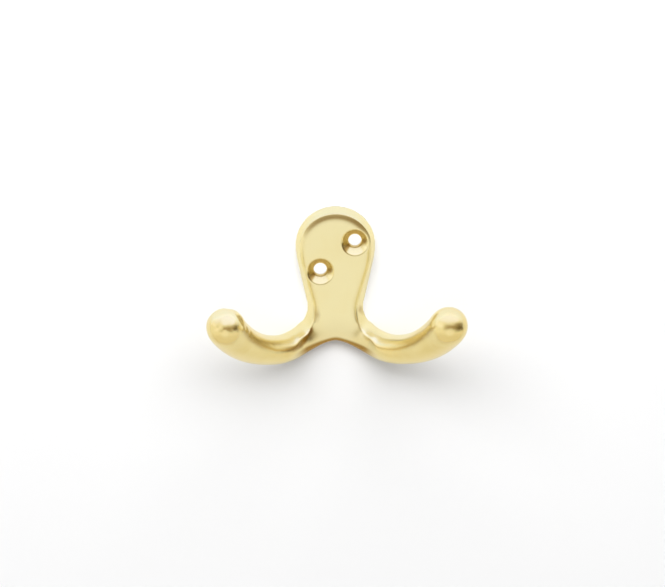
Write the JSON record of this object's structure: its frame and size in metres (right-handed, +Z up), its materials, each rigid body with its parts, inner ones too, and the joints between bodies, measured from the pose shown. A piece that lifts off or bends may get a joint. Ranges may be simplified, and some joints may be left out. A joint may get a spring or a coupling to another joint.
{
  "type": "double robe hook",
  "caption": "Cast brass robe hook: pear-shaped wall plate with diagonal countersunk screw holes and a pair of club-shaped arms that sweep out, forward and up to ball ends.",
  "frame": {"origin": "centre of the plate's round head, on the flat back face that lies on the wall", "axes": "+X to the viewer's right, +Y into the wall, +Z up; the arms reach out towards -Y"},
  "size_m": [0.075, 0.0332, 0.0461],
  "materials": {
    "satin_brass": "satin brushed and lacquered"
  },
  "bodies": {
    "root": {"double_robe_hook": "satin_brass"}
  },
  "joints": []
}
